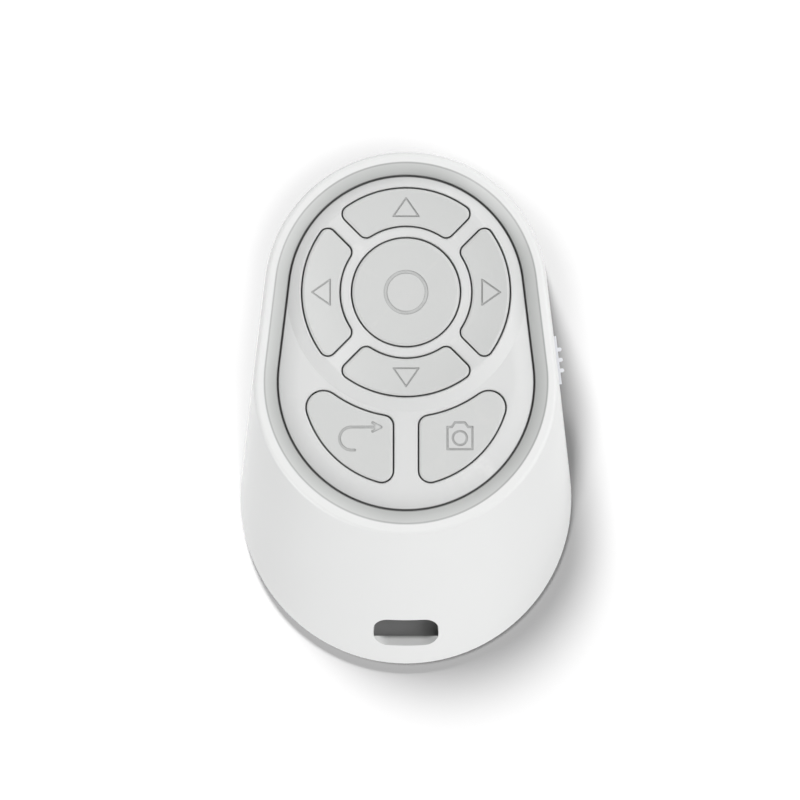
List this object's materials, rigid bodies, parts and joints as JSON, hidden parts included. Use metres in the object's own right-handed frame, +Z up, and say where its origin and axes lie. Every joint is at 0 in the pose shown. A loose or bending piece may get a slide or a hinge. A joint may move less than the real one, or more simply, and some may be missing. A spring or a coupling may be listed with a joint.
{
  "type": "bluetooth selfie remote",
  "caption": "Egg-shaped pocket camera remote with a dished direction pad, two lower buttons, a side power switch, a coin cell door and a lanyard slot.",
  "frame": {"origin": "middle of the flat underside", "axes": "+Z up out of the keypad, +Y towards the small rounded head, +X towards the power switch"},
  "size_m": [0.0376, 0.058, 0.016],
  "materials": {
    "shell_white": "satin gloss moulded ABS",
    "keypad_white": "satin gloss moulded ABS",
    "button_grey": "satin moulded ABS with engraved symbols",
    "cover_white": "finely textured moulded ABS",
    "door_white": "finely textured moulded ABS",
    "knob_grey": "satin moulded ABS",
    "screw_steel": "zinc plated",
    "board_green": "solder mask on glass epoxy",
    "chip_black": "moulded epoxy",
    "crystal_steel": "nickel plated",
    "antenna_ceramic": "fired ceramic",
    "led_lens": "clear moulding",
    "capacitor_tan": "fired ceramic with tinned ends",
    "terminal_tin": "tinned",
    "cell_steel": "nickel plated",
    "gasket_plastic": "moulded nylon",
    "contact_metal": "nickel plated phosphor bronze",
    "switch_black": "moulded nylon",
    "switch_steel": "tinned steel sheet",
    "dome_steel": "polished spring steel",
    "plunger_brown": "moulded nylon"
  },
  "bodies": {
    "case": {"upper_shell": "shell_white", "keypad_plate": "keypad_white", "bottom_cover": "cover_white", "cover_screws": "screw_steel", "main_board": "board_green", "board_screws": "screw_steel", "bluetooth_chip": "chip_black", "crystal": "crystal_steel", "chip_antenna": "antenna_ceramic", "status_led": "led_lens", "board_capacitors": "capacitor_tan", "switch_terminals": "terminal_tin", "cell_can": "cell_steel", "cell_gasket": "gasket_plastic", "cell_cap": "cell_steel", "positive_contact": "contact_metal", "negative_contact": "contact_metal", "slide_switch_base": "switch_black", "slide_switch_shell": "switch_steel", "centre_switch_housing": "switch_black", "centre_switch_dome": "dome_steel", "centre_switch_cover": "switch_steel", "up_switch_housing": "switch_black", "up_switch_dome": "dome_steel", "up_switch_cover": "switch_steel", "left_switch_housing": "switch_black", "left_switch_dome": "dome_steel", "left_switch_cover": "switch_steel", "down_switch_housing": "switch_black", "down_switch_dome": "dome_steel", "down_switch_cover": "switch_steel", "right_switch_housing": "switch_black", "right_switch_dome": "dome_steel", "right_switch_cover": "switch_steel", "return_switch_housing": "switch_black", "return_switch_dome": "dome_steel", "return_switch_cover": "switch_steel", "camera_switch_housing": "switch_black", "camera_switch_dome": "dome_steel", "camera_switch_cover": "switch_steel"},
    "centre_key": {"centre_button": "button_grey", "centre_switch_plunger": "plunger_brown"},
    "up_key": {"up_button": "button_grey", "up_switch_plunger": "plunger_brown"},
    "left_key": {"left_button": "button_grey", "left_switch_plunger": "plunger_brown"},
    "down_key": {"down_button": "button_grey", "down_switch_plunger": "plunger_brown"},
    "right_key": {"right_button": "button_grey", "right_switch_plunger": "plunger_brown"},
    "return_key": {"return_button": "button_grey", "return_switch_plunger": "plunger_brown"},
    "camera_key": {"camera_button": "button_grey", "camera_switch_plunger": "plunger_brown"},
    "power_switch": {"power_switch_knob": "knob_grey", "slide_switch_lever": "switch_black"},
    "door": {"battery_door": "door_white"}
  },
  "joints": [
    {"name": "centre_press", "type": "slide", "parent": "case", "child": "centre_key", "axis": [0, 0, -1], "range_m": [0, 0.00025], "stiffness_N_per_m": 3000, "deforming": ["centre_switch_dome"]},
    {"name": "up_press", "type": "slide", "parent": "case", "child": "up_key", "axis": [0, 0, -1], "range_m": [0, 0.00025], "stiffness_N_per_m": 3000, "deforming": ["up_switch_dome"]},
    {"name": "left_press", "type": "slide", "parent": "case", "child": "left_key", "axis": [0, 0, -1], "range_m": [0, 0.00025], "stiffness_N_per_m": 3000, "deforming": ["left_switch_dome"]},
    {"name": "down_press", "type": "slide", "parent": "case", "child": "down_key", "axis": [0, 0, -1], "range_m": [0, 0.00025], "stiffness_N_per_m": 3000, "deforming": ["down_switch_dome"]},
    {"name": "right_press", "type": "slide", "parent": "case", "child": "right_key", "axis": [0, 0, -1], "range_m": [0, 0.00025], "stiffness_N_per_m": 3000, "deforming": ["right_switch_dome"]},
    {"name": "return_press", "type": "slide", "parent": "case", "child": "return_key", "axis": [0, 0, -1], "range_m": [0, 0.00025], "stiffness_N_per_m": 3000, "deforming": ["return_switch_dome"]},
    {"name": "camera_press", "type": "slide", "parent": "case", "child": "camera_key", "axis": [0, 0, -1], "range_m": [0, 0.00025], "stiffness_N_per_m": 3000, "deforming": ["camera_switch_dome"]},
    {"name": "power_slide", "type": "slide", "parent": "case", "child": "power_switch", "axis": [-0.1207, 0.9927, 0], "range_m": [0, 0.002]},
    {"name": "battery_door_turn", "type": "hinge", "parent": "case", "child": "door", "pos_m": [0, 0.003, 0], "axis": [0, 0, -1], "range_deg": [0, 40]}
  ]
}
